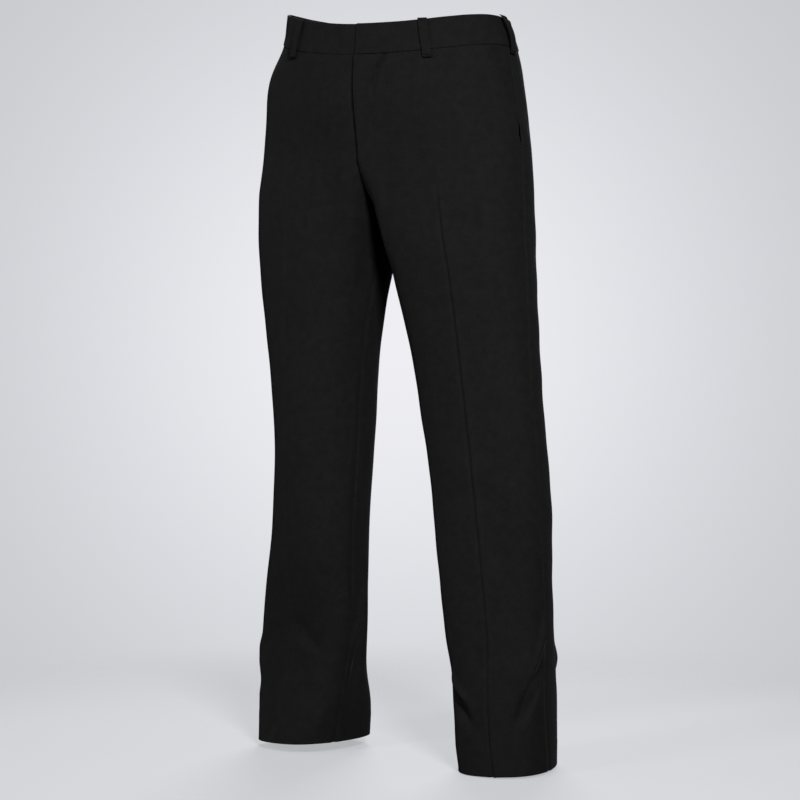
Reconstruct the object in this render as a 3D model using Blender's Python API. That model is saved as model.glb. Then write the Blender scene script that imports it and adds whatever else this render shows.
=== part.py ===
"""Flat-front chef trousers in black suiting, filled out and open at the waist and hems.

Every piece of cloth is a thin closed wall. Its outer face is read from one body surface: oval
hip sections that fork into two leg sections at the crotch. Metres, +Z up, the front faces -Y
and +X is the wearer's left. The origin is the centre of the waist ring.
"""

import math

import bmesh
import bpy
import numpy as np

# Heights above the wearer's left hem.
WAIST_HEIGHT = 1.015  # origin: the middle of the waistband
CROTCH_HEIGHT = 0.757
FRONT_FORK = 0.850  # the centre front starts to curve back to the crotch here
BACK_FORK = 0.900
OUTSIDE_FORK = (0.64, 0.94)  # the outside turns from leg to hip between these
HEM_HEIGHT = {1: 0.0, -1: 0.009}  # wearer's left, wearer's right

# The waist seam dips at the front and lies higher on the wearer's right.
FRONT_WAIST = 0.978
SIDE_RISE = 0.026
WAIST_TILT = 0.016
WAISTBAND = 0.043

CLOTH = 0.0015
BAND_CLOTH = 0.0025  # doubled cloth with interfacing
BAND_OUTSET = 0.0005
SEAM_GAP = 0.0003
THIGH_CLEARANCE = 0.002
CENTRE_SHARE = 0.12  # share of the way round over which both sides ease onto one centre line
CENTRE_BELOW = 0.08  # and how far below the crotch they part again

FLY_BOTTOM = 0.829
FLY_LAP = 0.003  # the left edge passes the centre line by this
FLY_UNDERLAP = 0.004
FLY_LAP_RUN = 0.025  # the lap grows to its width over this height
FLY_LAYER = 0.0012  # each front moves out or in by this where they lap
FLY_REACH = 0.10  # share of the way round over which that offset fades
FLY_FADE = 0.035  # height below the fly over which it fades
BAND_LAP_ANGLE = 1.0  # degrees
BAND_UNDERLAP_ANGLE = 11.0
BAND_LAYER = (BAND_CLOTH + SEAM_GAP) / 2 + 0.0001
BAND_FADE = {1: (12.0, 18.0), -1: (3.0, 18.0)}  # degrees where that offset starts to fade, and over
CENTRE_BACK_GAP = 0.08  # degrees

POCKET_SHARE = 0.075  # inset of the slanted mouth at the waist seam, 35 mm
POCKET_BOTTOM = 0.843
FACING_UNDER = 0.040  # share that the facing runs on behind the front, 18 mm
FACING_BELOW = 0.015
FACING_DEPTH = CLOTH + 0.0012
FACING_RISE = (0.02, 0.05)  # the facing comes up to the surface as the mouth opens by these shares

LOOP_WIDTH = 0.013
LOOP_CLOTH = 0.0016
LOOP_SEAT = 0.0005
LOOP_ABOVE = 0.001
LOOP_BELOW = 0.011
LOOP_STEP = (0.012, 0.002)  # the seat steps out onto the band between these depths below its seam
BELT_LOOPS = (  # name, degrees from the centre front, bow away from the waistband
    ("belt_loop_front_left", 34.0, 0.0012),
    ("belt_loop_front_right", -34.0, 0.0055),
    ("belt_loop_side_left", 92.0, 0.0078),
    ("belt_loop_side_right", -92.0, 0.0078),
    ("belt_loop_back_left", 143.0, 0.0045),
    ("belt_loop_back_right", -143.0, 0.0045),
    ("belt_loop_centre_back", 180.0, 0.0068),
)

ZIP_CENTRE = 0.009  # the chain lies under the left front
ZIP_DEPTH = 0.0034
ZIP_TOP = FRONT_WAIST - 0.008
ZIP_BOTTOM = FLY_BOTTOM + 0.020
TAPE_WIDTH = 0.026
TAPE_CLOTH = 0.0008
CHAIN_WIDTH = 0.005
CHAIN_DEPTH = 0.0018
SLIDER_DEPTH = 0.0040
SLIDER_LENGTH = 0.011
SLIDER_WIDTH = 0.008
SLIDER_STEP = 0.001

# Around a leg: inseam, front crease, side seam, back crease and the inseam again.
LANDMARKS = np.array([0.0, 0.24, 0.46, 0.74, 1.0])
FRONT_CREASE, SIDE_SEAM, BACK_CREASE = LANDMARKS[1:4]
HIP_ANGLES = np.radians([0.0, 35.0, 90.0, 135.0, 180.0])
LEG_ANGLES = {
    1: np.radians([-90.0, 0.0, 73.0, 180.0, 270.0]),
    -1: np.radians([-88.0, 0.0, 82.0, 180.0, 272.0]),
}
HIP_FULLNESS = 0.03

HIP_COLUMNS = ("height", "half_width", "front_depth", "back_depth", "shift")
HIP_SECTIONS = (
    (0.66, 0.218, 0.096, 0.113, 0.000),
    (0.74, 0.215, 0.097, 0.117, 0.000),
    (0.80, 0.212, 0.099, 0.121, 0.002),
    (0.86, 0.206, 0.103, 0.126, 0.001),
    (0.91, 0.201, 0.107, 0.128, -0.002),
    (0.96, 0.194, 0.105, 0.127, -0.004),
    (1.01, 0.175, 0.102, 0.123, -0.002),
    (1.06, 0.159, 0.100, 0.119, 0.000),
)

LEG_COLUMNS = (
    "height", "centre_x", "centre_y", "half_width", "front_depth", "back_depth", "fullness", "turn",
)
LEG_SECTIONS = {
    1: (
        (0.00, 0.184, 0.001, 0.066, 0.084, 0.088, 0.03, 15.0),
        (0.05, 0.181, 0.001, 0.068, 0.078, 0.086, 0.03, 12.0),
        (0.11, 0.178, 0.001, 0.069, 0.069, 0.083, 0.04, 10.0),
        (0.17, 0.172, 0.000, 0.074, 0.062, 0.077, 0.03, 13.0),
        (0.24, 0.166, 0.000, 0.078, 0.057, 0.068, 0.03, 12.0),
        (0.34, 0.160, 0.000, 0.083, 0.054, 0.062, 0.04, 6.0),
        (0.46, 0.147, 0.000, 0.086, 0.056, 0.063, 0.04, 6.0),
        (0.58, 0.131, 0.000, 0.092, 0.066, 0.072, 0.03, 10.0),
        (0.70, 0.114, -0.001, 0.103, 0.080, 0.084, 0.03, 13.0),
        (0.80, 0.101, 0.000, 0.112, 0.090, 0.094, 0.02, 9.0),
    ),
    -1: (
        (0.00, 0.148, 0.001, 0.069, 0.067, 0.098, 0.03, 21.0),
        (0.05, 0.149, 0.000, 0.076, 0.051, 0.095, 0.05, 16.0),
        (0.11, 0.149, 0.000, 0.082, 0.039, 0.084, 0.04, 12.0),
        (0.17, 0.143, 0.000, 0.083, 0.039, 0.075, 0.04, 11.0),
        (0.24, 0.134, 0.001, 0.080, 0.053, 0.068, 0.03, 14.0),
        (0.34, 0.120, 0.002, 0.073, 0.070, 0.064, 0.01, 19.0),
        (0.46, 0.110, 0.002, 0.070, 0.081, 0.065, 0.01, 18.0),
        (0.58, 0.113, 0.000, 0.081, 0.085, 0.072, 0.02, 13.0),
        (0.70, 0.109, -0.001, 0.099, 0.093, 0.086, 0.02, 9.0),
        (0.80, 0.103, -0.001, 0.113, 0.103, 0.107, 0.03, 7.0),
    ),
}

INNER_STEPS = 6  # from the centre front to the crease
OUTER_STEPS = 8  # from the crease to the side seam
BACK_STEPS = 14
LEG_STEPS = 15
FORK_STEPS = 7
HIP_STEPS = 6
BAND_STEPS = 26
BAND_ROWS = 3
LOOP_ROWS = 12
FACING_ROWS = 8
FACING_STEPS = 7
ZIP_ROWS = 7
NORMAL_STEP = 0.001  # share, radians or metres across which a normal is taken


# ---------------------------------------------------------------- curves and sections


def table(columns, rows):
    return dict(zip(columns, np.array(rows).T))


HIP = table(HIP_COLUMNS, HIP_SECTIONS)
LEGS = {side: table(LEG_COLUMNS, rows) for side, rows in LEG_SECTIONS.items()}


def through(heights, values, at):
    """Reads a natural cubic spline through (heights, values) at other heights."""
    gaps = np.diff(heights)
    slopes = np.diff(values) / gaps
    size = len(heights)
    system = np.eye(size)
    turns = np.zeros(size)
    for i in range(1, size - 1):
        system[i, i - 1 : i + 2] = gaps[i - 1], 2 * (gaps[i - 1] + gaps[i]), gaps[i]
        turns[i] = 6 * (slopes[i] - slopes[i - 1])
    bends = np.linalg.solve(system, turns)
    at = np.clip(at, heights[0], heights[-1])
    i = np.clip(np.searchsorted(heights, at) - 1, 0, size - 2)
    a = (heights[i + 1] - at) / gaps[i]
    b = 1 - a
    bend = (a**3 - a) * bends[i] + (b**3 - b) * bends[i + 1]
    return a * values[i] + b * values[i + 1] + bend * gaps[i] ** 2 / 6


def smooth(t):
    t = np.clip(t, 0.0, 1.0)
    return t * t * (3 - 2 * t)


def angle_at(share, angles):
    """The section angle at a share of the way round, eased through the landmarks."""
    gaps = np.diff(LANDMARKS)
    rates = np.diff(angles) / gaps
    slopes = np.concatenate(
        [rates[:1], 2 * rates[:-1] * rates[1:] / (rates[:-1] + rates[1:]), rates[-1:]]
    )
    i = np.clip(np.searchsorted(LANDMARKS, share) - 1, 0, len(gaps) - 1)
    t = (share - LANDMARKS[i]) / gaps[i]
    start = (1 + 2 * t) * (1 - t) ** 2 * angles[i] + t * (1 - t) ** 2 * gaps[i] * slopes[i]
    end = t * t * (3 - 2 * t) * angles[i + 1] + t * t * (t - 1) * gaps[i] * slopes[i + 1]
    return start + end


def hip_point(angle, height):
    """A point of the oval hip section; angle 0 is the centre front, positive to the left."""
    column = {name: through(HIP["height"], HIP[name], height) for name in HIP_COLUMNS[1:]}
    depth = np.where(np.cos(angle) > 0, column["front_depth"], column["back_depth"])
    x = column["shift"] + column["half_width"] * np.sin(angle + HIP_FULLNESS * np.sin(2 * angle))
    y = -depth * np.cos(angle - HIP_FULLNESS * np.sin(2 * angle))
    return x, y


def leg_point(side, share, height):
    """A point of one leg's section, fuller than an ellipse and turned toe-out."""
    leg = LEGS[side]
    column = {name: through(leg["height"], leg[name], height) for name in LEG_COLUMNS[1:]}
    angle = angle_at(share, LEG_ANGLES[side])
    full = column["fullness"]
    depth = np.where(np.cos(angle) > 0, column["front_depth"], column["back_depth"])
    out = column["half_width"] * (np.sin(angle) + full * np.sin(3 * angle)) / (1 - full)
    back = -depth * (np.cos(angle) - full * np.cos(3 * angle)) / (1 - full)
    turn = np.radians(column["turn"])
    x = side * (column["centre_x"] + out * np.cos(turn) - back * np.sin(turn))
    y = column["centre_y"] + back * np.cos(turn) + out * np.sin(turn)
    return x, y


def forked_point(side, share, height):
    """Hip and leg sections blended: the inner lines late and quickly, the outside slowly."""
    hip_x, hip_y = hip_point(side * angle_at(share, HIP_ANGLES), height)
    leg_x, leg_y = leg_point(side, share, height)
    inner = np.maximum(
        smooth(1 - share / FRONT_CREASE), smooth((share - BACK_CREASE) / (1 - BACK_CREASE))
    )
    fork = np.where(share < SIDE_SEAM, FRONT_FORK, BACK_FORK)
    fall = np.clip((fork - height) / (fork - CROTCH_HEIGHT), 0, 1)
    low, high = OUTSIDE_FORK
    leg_share = inner * (1 - np.sqrt(1 - fall**2)) + (1 - inner) * smooth((high - height) / (high - low))
    return hip_x + (leg_x - hip_x) * leg_share, hip_y + (leg_y - hip_y) * leg_share


def body_point(side, share, height):
    """The body surface: both legs meet on one centre line and stay clear of each other."""
    x, y = forked_point(side, share, height)
    end = np.round(share)
    at = np.maximum(height, CROTCH_HEIGHT)
    own_x, own_y = forked_point(side, end, at)
    other_y = forked_point(-side, end, at)[1]
    centre = through(HIP["height"], HIP["shift"], at)
    near = smooth(1 - np.abs(share - end) / CENTRE_SHARE)
    near = near * smooth((height - CROTCH_HEIGHT + CENTRE_BELOW) / CENTRE_BELOW)
    x = x + (centre - own_x) * near
    y = y + ((own_y + other_y) / 2 - own_y) * near
    clear = SEAM_GAP / 2 + np.clip((CROTCH_HEIGHT - height) * 0.02, 0, THIGH_CLEARANCE)
    x = centre + side * np.maximum(side * (x - centre), clear)
    return np.stack([x, y, height - WAIST_HEIGHT + 0 * x], axis=-1)


def waist_seam(angle):
    """Height of the waist seam; the back keeps the height of the sides."""
    rise = np.where(np.cos(angle) > 0, np.sin(angle) ** 2, 1.0)
    return FRONT_WAIST + SIDE_RISE * rise - WAIST_TILT * np.sin(angle)


# ---------------------------------------------------------------- grids of a panel


def row_heights(side, top_share, fork_height):
    """Heights down each column, from the waist seam past the fork and crotch to the hem."""
    top = waist_seam(side * angle_at(top_share, HIP_ANGLES)) - 2 * SEAM_GAP
    hip = top + (fork_height - top) * np.linspace(0, 1, HIP_STEPS + 1)[:, None]
    quarter = np.linspace(0, math.pi / 2, FORK_STEPS + 1)[1:, None]
    fork = fork_height - (fork_height - CROTCH_HEIGHT) * np.sin(quarter)
    down = np.linspace(0, 1, LEG_STEPS + 1)[1:, None]
    leg = CROTCH_HEIGHT + (HEM_HEIGHT[side] - CROTCH_HEIGHT) * down
    return np.concatenate([hip, fork + 0 * top, leg + 0 * top])


def unit(vectors):
    return vectors / np.linalg.norm(vectors, axis=-1, keepdims=True)


def normals_at(side, share, height):
    """Outward normals, the same for the pieces on both sides of a seam."""
    step = NORMAL_STEP
    joined = height <= CROTCH_HEIGHT + 1e-6  # below the crotch the inner line is an inseam
    front_end = share < step
    back_end = share > 1 - step
    before = np.where(front_end & joined, 1 - step, np.maximum(share - step, 0))
    after = np.where(back_end & joined, step, np.minimum(share + step, 1))
    across = body_point(side, after, height) - body_point(side, before, height)
    lower = np.maximum(height - step, HEM_HEIGHT[side])
    up = body_point(side, share, height + step) - body_point(side, share, lower)
    normals = unit(side * np.cross(across, up))
    normals[..., 0] *= np.where((front_end | back_end) & ~joined, 0, 1)
    return unit(normals)


def pulled_back(points, normals):
    """Moves the first and last column of a piece in by half a seam gap."""
    edged = points.copy()
    for column, inside in ((0, 1), (-1, -2)):
        along = points[:, inside] - points[:, column]
        along -= normals[:, column] * np.sum(along * normals[:, column], axis=-1, keepdims=True)
        edged[:, column] += unit(along) * SEAM_GAP / 2
    return edged


# ---------------------------------------------------------------- solids


def plain_material(name, colour, roughness, metallic=0.0):
    material = bpy.data.materials.new(name)
    material.use_nodes = True
    shader = material.node_tree.nodes["Principled BSDF"]
    shader.inputs["Base Color"].default_value = (*colour, 1)
    shader.inputs["Roughness"].default_value = roughness
    shader.inputs["Metallic"].default_value = metallic
    return material


def wall(name, outer, inner, material):
    """A closed wall between two grids of points with the same rows and columns."""
    rows, columns = outer.shape[:2]
    behind = rows * columns
    index = np.arange(behind).reshape(rows, columns)
    faces = []
    corners = index[:-1, :-1], index[:-1, 1:], index[1:, 1:], index[1:, :-1]
    for a, b, c, d in zip(*(corner.ravel().tolist() for corner in corners)):
        faces += [(a, b, c), (a, c, d)]
        faces += [(c + behind, b + behind, a + behind), (d + behind, c + behind, a + behind)]
    rim = [*index[0], *index[1:, -1], *index[-1, -2::-1], *index[-2:0:-1, 0]]
    for here, there in zip(rim, rim[1:] + rim[:1]):
        faces.append((int(here), int(here) + behind, int(there) + behind, int(there)))
    mesh = bpy.data.meshes.new(name)
    points = np.concatenate([outer.reshape(-1, 3), inner.reshape(-1, 3)])
    mesh.from_pydata(points.tolist(), [], faces)
    shape = bmesh.new()
    shape.from_mesh(mesh)
    bmesh.ops.recalc_face_normals(shape, faces=shape.faces)
    shape.to_mesh(mesh)
    shape.free()
    mesh.shade_smooth()
    mesh.set_sharp_from_angle(angle=math.radians(40))
    mesh.materials.append(material)
    piece = bpy.data.objects.new(name, mesh)
    bpy.context.scene.collection.objects.link(piece)
    return piece


def pocket_edge(side, height):
    """Share of the way round where the front ends: the pocket mouth, then the side seam."""
    seam = waist_seam(side * HIP_ANGLES[2])
    up = np.clip((height - POCKET_BOTTOM) / (seam - POCKET_BOTTOM), 0, 1)
    return SIDE_SEAM - POCKET_SHARE * up


def front_piece(name, side, material):
    """A front, cut along the pocket mouth, forked at the crotch and lapped at the fly."""
    even = np.concatenate(
        [
            np.linspace(0, FRONT_CREASE, INNER_STEPS + 1),
            np.linspace(FRONT_CREASE, SIDE_SEAM, OUTER_STEPS + 1)[1:],
        ]
    )
    heights = row_heights(side, even, FRONT_FORK)
    edge = pocket_edge(side, heights)
    past_crease = np.maximum(even - FRONT_CREASE, 0) / (SIDE_SEAM - FRONT_CREASE)
    share = np.minimum(even, FRONT_CREASE) + past_crease * (edge - FRONT_CREASE)
    heights = row_heights(side, share[0], FRONT_FORK)
    normals = normals_at(side, share, heights)
    outer = pulled_back(body_point(side, share, heights), normals)
    fly = smooth((heights - FLY_BOTTOM + FLY_FADE) / FLY_FADE) * smooth(1 - share / FLY_REACH)
    outer += normals * (side * FLY_LAYER * fly)[..., None]
    lap = FLY_LAP if side > 0 else FLY_UNDERLAP
    outer[:, 0, 0] -= side * lap * smooth((heights[:, 0] - FLY_BOTTOM) / FLY_LAP_RUN)
    return wall(name, outer, outer - normals * CLOTH, material)


def back_piece(name, side, material):
    share = np.linspace(SIDE_SEAM, 1, BACK_STEPS + 1)
    heights = row_heights(side, share, BACK_FORK)
    share = share + 0 * heights
    normals = normals_at(side, share, heights)
    outer = pulled_back(body_point(side, share, heights), normals)
    return wall(name, outer, outer - normals * CLOTH, material)


def pocket_facing(name, side, material):
    """The side piece behind a slanted mouth: under the front, then out to the side seam."""
    top = waist_seam(side * HIP_ANGLES[2]) - 2 * SEAM_GAP
    rows = np.linspace(top, POCKET_BOTTOM - FACING_BELOW, FACING_ROWS)[:, None]
    mouth = pocket_edge(side, rows)
    across = np.linspace(0, 1, FACING_STEPS + 1)
    share = mouth - FACING_UNDER + (SIDE_SEAM - mouth + FACING_UNDER) * across
    seam = waist_seam(side * angle_at(share[:1], HIP_ANGLES)) - 2 * SEAM_GAP
    heights = rows + (seam - top) * (rows - rows[-1]) / (top - rows[-1])
    normals = normals_at(side, share, heights)
    outer = pulled_back(body_point(side, share, heights), normals)
    low, high = FACING_RISE
    open_share = np.maximum(SIDE_SEAM - mouth, 1e-6)
    surfaced = smooth((open_share - low) / (high - low)) * smooth((share - mouth) / open_share)
    outer -= normals * (FACING_DEPTH * (1 - surfaced))[..., None]
    return wall(name, outer, outer - normals * CLOTH, material)


def ring_point(angle, height):
    return np.stack([*hip_point(angle, height), height - WAIST_HEIGHT + 0 * angle], axis=-1)


def ring(angle, height, outset):
    """Points and normals of the waist ring, moved out."""
    step = NORMAL_STEP
    across = ring_point(angle + step, height) - ring_point(angle - step, height)
    up = ring_point(angle, height + step) - ring_point(angle, height - step)
    normals = unit(np.cross(across, up))
    return ring_point(angle, height) + normals * outset[..., None], normals


def waistband(name, side, material):
    """Half of the waistband; the left end laps over the right one at the centre front."""
    start = -BAND_LAP_ANGLE if side > 0 else -BAND_UNDERLAP_ANGLE
    angle = side * np.radians(np.linspace(start, 180 - CENTRE_BACK_GAP, BAND_STEPS + 1))
    heights = waist_seam(angle) + WAISTBAND * np.linspace(0, 1, BAND_ROWS)[:, None]
    fade = 1 - smooth((np.degrees(side * angle) - BAND_FADE[side][0]) / BAND_FADE[side][1])
    outset = BAND_OUTSET + side * BAND_LAYER * fade + 0 * heights
    outer, normals = ring(angle + 0 * heights, heights, outset)
    return wall(name, outer, outer - normals * BAND_CLOTH, material)


def belt_loop(name, degrees, bow, material):
    """A strip over the waistband, seated at both ends and bowed away between them."""
    angle = math.radians(degrees)
    seam = waist_seam(angle)
    down = np.linspace(0, 1, LOOP_ROWS)
    height = seam + WAISTBAND + LOOP_ABOVE - (WAISTBAND + LOOP_ABOVE + LOOP_BELOW) * down
    low, high = LOOP_STEP
    seat = LOOP_SEAT + BAND_OUTSET * smooth((height - seam + low) / (low - high))
    outset = seat + bow * np.sin(math.pi * down) ** 0.7
    centre, normals = ring(angle + 0 * height, height, outset)
    edges = LOOP_WIDTH / 2 * np.array([-1, 1])[:, None]
    inner = centre[:, None] + unit(np.cross([0, 0, 1], normals))[:, None] * edges
    return wall(name, inner + normals[:, None] * LOOP_CLOTH, inner, material)


def zip_strip(name, material):
    """Closed zip behind the lap: two tapes, the chain between them and the slider at the top."""
    slider_bottom = ZIP_TOP - SLIDER_LENGTH
    chain_top = slider_bottom - SLIDER_STEP
    heights = np.array([ZIP_TOP, slider_bottom, *np.linspace(chain_top, ZIP_BOTTOM, ZIP_ROWS)])
    widths = np.array([TAPE_WIDTH, SLIDER_WIDTH, CHAIN_WIDTH]) / 2
    across = np.concatenate([-widths, widths[::-1]])
    chain = np.array([TAPE_CLOTH, TAPE_CLOTH, CHAIN_DEPTH, CHAIN_DEPTH, TAPE_CLOTH, TAPE_CLOTH])
    slider = np.array([TAPE_CLOTH, *[SLIDER_DEPTH] * 4, TAPE_CLOTH])
    depth = np.where((heights > chain_top)[:, None], slider, chain)
    share = 0 * heights
    normals = normals_at(1, share, heights)[:, None]
    outer = body_point(1, share, heights)[:, None] - normals * ZIP_DEPTH
    outer = outer + (ZIP_CENTRE + across)[:, None] * np.array([1.0, 0.0, 0.0])
    return wall(name, outer, outer - normals * depth[..., None], material)


def main():
    for thing in list(bpy.data.objects):
        bpy.data.objects.remove(thing)
    suiting = plain_material("suiting", (0.014, 0.014, 0.015), 0.85)
    doubled = plain_material("waistband suiting", (0.015, 0.015, 0.016), 0.85)
    facing = plain_material("pocket facing suiting", (0.013, 0.013, 0.014), 0.88)
    loops = plain_material("belt loop suiting", (0.015, 0.015, 0.016), 0.85)
    tape = plain_material("zip tape", (0.012, 0.012, 0.013), 0.7)
    for side, word in ((1, "left"), (-1, "right")):
        front_piece(f"front_{word}", side, suiting)
        back_piece(f"back_{word}", side, suiting)
        waistband(f"waistband_{word}", side, doubled)
        pocket_facing(f"pocket_{word}", side, facing)
    for name, degrees, bow in BELT_LOOPS:
        belt_loop(name, degrees, bow, loops)
    zip_strip("zip", tape)


main()
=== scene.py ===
import math

import bpy
import numpy as np
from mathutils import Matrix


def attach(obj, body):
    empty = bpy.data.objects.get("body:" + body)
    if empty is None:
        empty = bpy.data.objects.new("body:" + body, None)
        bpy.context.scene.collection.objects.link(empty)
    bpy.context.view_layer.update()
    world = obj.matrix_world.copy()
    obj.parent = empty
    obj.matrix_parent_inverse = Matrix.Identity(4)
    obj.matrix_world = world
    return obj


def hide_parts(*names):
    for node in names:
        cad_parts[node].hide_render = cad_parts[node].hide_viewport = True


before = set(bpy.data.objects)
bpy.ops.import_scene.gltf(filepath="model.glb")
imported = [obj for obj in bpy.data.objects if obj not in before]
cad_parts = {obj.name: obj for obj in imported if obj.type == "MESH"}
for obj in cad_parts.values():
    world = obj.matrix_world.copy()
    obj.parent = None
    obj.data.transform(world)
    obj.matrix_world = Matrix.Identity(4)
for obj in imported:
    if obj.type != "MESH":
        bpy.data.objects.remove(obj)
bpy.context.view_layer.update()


# ================================================================ Camera
# A long lens at about half the height of the garment, level, turned towards the wearer's left
# front. It is made first, so that everything else is placed in its view.

CAMERA_TURN = math.radians(31.0)
CAMERA_AWAY = 2.80  # metres from the upright line through the middle of the waist
CAMERA_HEIGHT = -0.5146
LENS_MM = 88.35
FRAME_SHIFT = 0.0087  # the garment stands a little left of the middle

camera = bpy.data.objects.new("camera", bpy.data.cameras.new("camera"))
camera.data.sensor_width = 36.0
camera.data.lens = LENS_MM
camera.data.shift_x = FRAME_SHIFT
camera.location = (
    CAMERA_AWAY * math.sin(CAMERA_TURN),
    -CAMERA_AWAY * math.cos(CAMERA_TURN),
    CAMERA_HEIGHT,
)
camera.rotation_euler = (math.pi / 2, 0.0, CAMERA_TURN)
bpy.context.scene.collection.objects.link(camera)
bpy.context.scene.camera = camera


# ================================================================ Fronts and backs
# Four panels of black suiting, cut with forked inner edges, sewn at the sides, inseams and
# centre, and pressed with one crease down the middle of each. A panel's edges turn in at its
# seams, and fold back at the fly, the pocket mouth and the hem.

# Heights above the wearer's left hem, in metres; the origin is the middle of the waistband.
WAIST = 1.015
CROTCH = 0.757
FRONT_FORK = 0.850
BACK_FORK = 0.900
OUTSIDE_FORK = (0.64, 0.94)
FORK_LATE = {1: 2.7, -1: 2.4}  # how late the cloth beside the crotch seam turns in
FORK_DROP = {1: (0.090, 0.07), -1: (0.105, 0.06)}  # how much lower it does so away from the seam
FORK_TIGHT = {1: 0.024, -1: 0.045}  # share of the leg beside the seam that turns in as it does
HEM = {1: -0.0027, -1: 0.0085}  # wearer's left, wearer's right
HEM_DROP = {1: (0.0034, 0.04), -1: (0.0070, 0.46)}  # how much lower it hangs, and at which share
FRONT_WAIST = 0.978
SIDE_RISE = 0.026
WAIST_TILT = 0.016
FLY_BOTTOM = 0.829
POCKET_BOTTOM = 0.843

# Shares of the way round a leg: inseam, front crease, side seam, back crease, inseam.
LANDMARKS = np.array([0.0, 0.24, 0.46, 0.74, 1.0])
FRONT_CREASE, SIDE_SEAM, BACK_CREASE = LANDMARKS[1:4]
HIP_ANGLES = np.radians([0.0, 35.0, 90.0, 135.0, 180.0])
LEG_ANGLES = {
    1: np.radians([-90.0, 0.0, 73.0, 180.0, 270.0]),
    -1: np.radians([-88.0, 0.0, 82.0, 180.0, 272.0]),
}
HIP_FULLNESS = 0.03
HIP_COLUMNS = ("height", "half_width", "front_depth", "back_depth", "shift")
HIP_SECTIONS = (
    (0.66, 0.218, 0.096, 0.113, 0.000),
    (0.74, 0.215, 0.097, 0.117, 0.000),
    (0.80, 0.212, 0.099, 0.121, 0.002),
    (0.86, 0.206, 0.103, 0.126, 0.001),
    (0.91, 0.201, 0.107, 0.128, -0.002),
    (0.96, 0.194, 0.105, 0.127, -0.004),
    (1.01, 0.175, 0.102, 0.123, -0.002),
    (1.06, 0.159, 0.100, 0.119, 0.000),
)
LEG_COLUMNS = (
    "height", "centre_x", "centre_y", "half_width", "front_depth", "back_depth", "fullness", "turn",
)
LEG_SECTIONS = {
    1: (
        (0.00, 0.184, 0.001, 0.066, 0.084, 0.088, 0.03, 15.0),
        (0.05, 0.181, 0.001, 0.068, 0.078, 0.086, 0.03, 12.0),
        (0.11, 0.178, 0.001, 0.069, 0.069, 0.083, 0.04, 10.0),
        (0.17, 0.172, 0.000, 0.074, 0.062, 0.077, 0.03, 13.0),
        (0.24, 0.166, 0.000, 0.078, 0.057, 0.068, 0.03, 12.0),
        (0.34, 0.160, 0.000, 0.083, 0.054, 0.062, 0.04, 6.0),
        (0.46, 0.147, 0.000, 0.086, 0.056, 0.063, 0.04, 6.0),
        (0.58, 0.131, 0.000, 0.092, 0.066, 0.072, 0.03, 10.0),
        (0.70, 0.114, -0.001, 0.103, 0.080, 0.084, 0.03, 13.0),
        (0.80, 0.101, 0.000, 0.112, 0.090, 0.094, 0.02, 9.0),
    ),
    -1: (
        (0.00, 0.148, 0.001, 0.069, 0.067, 0.098, 0.03, 21.0),
        (0.05, 0.149, 0.000, 0.076, 0.051, 0.095, 0.05, 16.0),
        (0.11, 0.149, 0.000, 0.082, 0.039, 0.084, 0.04, 12.0),
        (0.17, 0.143, 0.000, 0.083, 0.039, 0.075, 0.04, 11.0),
        (0.24, 0.134, 0.001, 0.080, 0.053, 0.068, 0.03, 14.0),
        (0.34, 0.120, 0.002, 0.073, 0.070, 0.064, 0.01, 19.0),
        (0.46, 0.110, 0.002, 0.070, 0.081, 0.065, 0.01, 18.0),
        (0.58, 0.113, 0.000, 0.081, 0.085, 0.072, 0.02, 13.0),
        (0.70, 0.109, -0.001, 0.099, 0.093, 0.086, 0.02, 9.0),
        (0.80, 0.103, -0.001, 0.113, 0.103, 0.107, 0.03, 7.0),
    ),
}
GIRTH_HEIGHTS = (0.00, 0.24, 0.46, 0.70, 0.80, 1.02)
GIRTHS = (0.49, 0.457, 0.475, 0.60, 0.58, 0.47)  # metres that a whole share of 1 covers

SPREAD_HEIGHTS = (0.80, 0.85, 0.90, 0.93, 0.965, 0.99, 1.06)
SPREAD_MM = (0.0, 0.3, 1.8, 2.5, 4.4, 6.3, 6.6)  # the cloth's slack over the wearer's left hip
SPREAD_AT = math.radians(113.0)
LEAN_AT = math.radians(-71.0)
LEAN_HEIGHTS = (0.955, 0.975, 1.017, 1.036, 1.062)
LEAN_MM = (0.0, 0.0, -3.2, 0.0, 4.4)  # the band leans in below and out above, at the wearer's right
BROAD = math.radians(30.0)

CLOTH_MM = 0.5
SEAM_GAP = 0.0003
THIGH_CLEARANCE = 0.002
FLY_LAP = {1: -0.003, -1: 0.010}  # how far each front passes the centre line
FLY_LAYER = 0.0012
FLY_REACH = 0.10
FLY_FADE = 0.035
POCKET_SHARE = 0.086


def table(columns, rows):
    return dict(zip(columns, np.array(rows).T))


HIP = table(HIP_COLUMNS, HIP_SECTIONS)
LEGS = {side: table(LEG_COLUMNS, rows) for side, rows in LEG_SECTIONS.items()}


def smooth(t):
    t = np.clip(t, 0.0, 1.0)
    return t * t * (3 - 2 * t)


def through(heights, values, at):
    """Reads a natural cubic spline through (heights, values) at other heights."""
    heights, values = np.array(heights), np.array(values)
    gaps = np.diff(heights)
    slopes = np.diff(values) / gaps
    size = len(heights)
    system = np.eye(size)
    turns = np.zeros(size)
    for i in range(1, size - 1):
        system[i, i - 1 : i + 2] = gaps[i - 1], 2 * (gaps[i - 1] + gaps[i]), gaps[i]
        turns[i] = 6 * (slopes[i] - slopes[i - 1])
    bends = np.linalg.solve(system, turns)
    at = np.clip(at, heights[0], heights[-1])
    i = np.clip(np.searchsorted(heights, at) - 1, 0, size - 2)
    a = (heights[i + 1] - at) / gaps[i]
    b = 1 - a
    bend = (a**3 - a) * bends[i] + (b**3 - b) * bends[i + 1]
    return a * values[i] + b * values[i + 1] + bend * gaps[i] ** 2 / 6


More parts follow.
